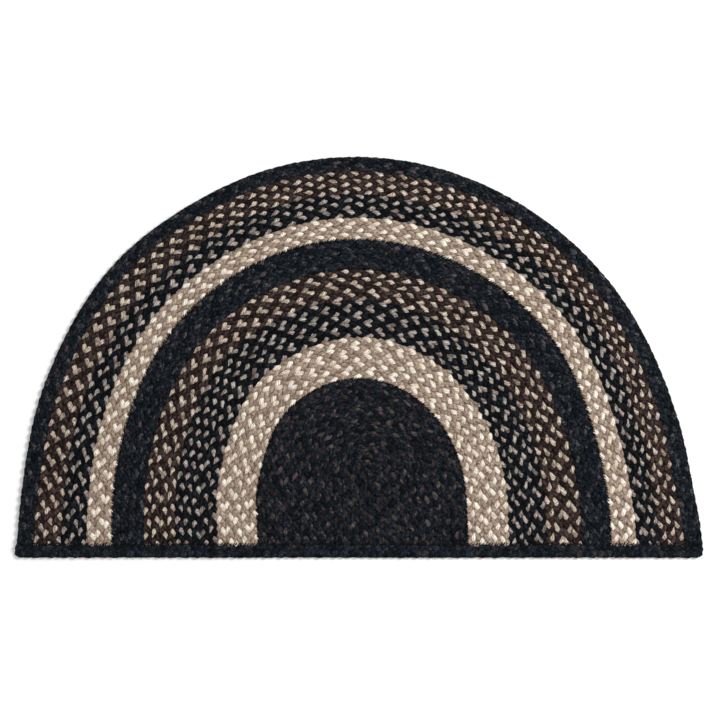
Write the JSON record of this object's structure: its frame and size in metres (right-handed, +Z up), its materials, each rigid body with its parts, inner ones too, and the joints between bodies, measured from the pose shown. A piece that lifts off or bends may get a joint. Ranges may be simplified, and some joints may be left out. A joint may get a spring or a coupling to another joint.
{
  "type": "braided rug",
  "caption": "Flat half-round braided rug: plaited courses sewn round a straight spine as nested arches in colour bands, with one plait binding the straight edge.",
  "frame": {"origin": "on the floor, under the middle of the rug's bounding box", "axes": "+X along the straight bound edge, +Y from that edge towards the crown of the arches, +Z up out of the floor"},
  "size_m": [0.914, 0.5314, 0.008],
  "materials": {
    "navy_yarn": "matt plaited yarn, navy black heathered with charcoal and dark brown",
    "brown_tan_yarn": "matt plaited yarn, two dark brown strands and one tan strand",
    "black_tan_yarn": "matt plaited yarn, two navy black strands and one greyish tan strand",
    "taupe_cream_yarn": "matt plaited yarn, two taupe strands and one cream strand"
  },
  "bodies": {
    "root": {"binding_braid": "navy_yarn", "centre_course_01": "navy_yarn", "centre_course_02": "navy_yarn", "centre_course_03": "navy_yarn", "centre_course_04": "navy_yarn", "centre_course_05": "navy_yarn", "centre_course_06": "navy_yarn", "centre_course_07": "navy_yarn", "centre_course_08": "navy_yarn", "centre_course_09": "navy_yarn", "centre_course_10": "navy_yarn", "centre_course_11": "navy_yarn", "centre_course_12": "navy_yarn", "dark_course_01": "navy_yarn", "dark_course_02": "navy_yarn", "dark_course_03": "navy_yarn", "dark_course_04": "navy_yarn", "inner_black_course_01": "black_tan_yarn", "inner_black_course_02": "black_tan_yarn", "inner_black_course_03": "black_tan_yarn", "inner_black_course_04": "black_tan_yarn", "inner_black_course_05": "black_tan_yarn", "inner_brown_course_01": "brown_tan_yarn", "inner_brown_course_02": "brown_tan_yarn", "inner_brown_course_03": "brown_tan_yarn", "inner_brown_course_04": "brown_tan_yarn", "inner_cream_course_01": "taupe_cream_yarn", "inner_cream_course_02": "taupe_cream_yarn", "inner_cream_course_03": "taupe_cream_yarn", "inner_cream_course_04": "taupe_cream_yarn", "inner_cream_course_05": "taupe_cream_yarn", "outer_black_course_01": "black_tan_yarn", "outer_black_course_02": "black_tan_yarn", "outer_black_course_03": "black_tan_yarn", "outer_brown_course_01": "brown_tan_yarn", "outer_brown_course_02": "brown_tan_yarn", "outer_brown_course_03": "brown_tan_yarn", "outer_cream_course_01": "taupe_cream_yarn", "outer_cream_course_02": "taupe_cream_yarn", "outer_cream_course_03": "taupe_cream_yarn", "rim_course_01": "navy_yarn", "rim_course_02": "navy_yarn", "spine_braid": "navy_yarn"}
  },
  "joints": []
}
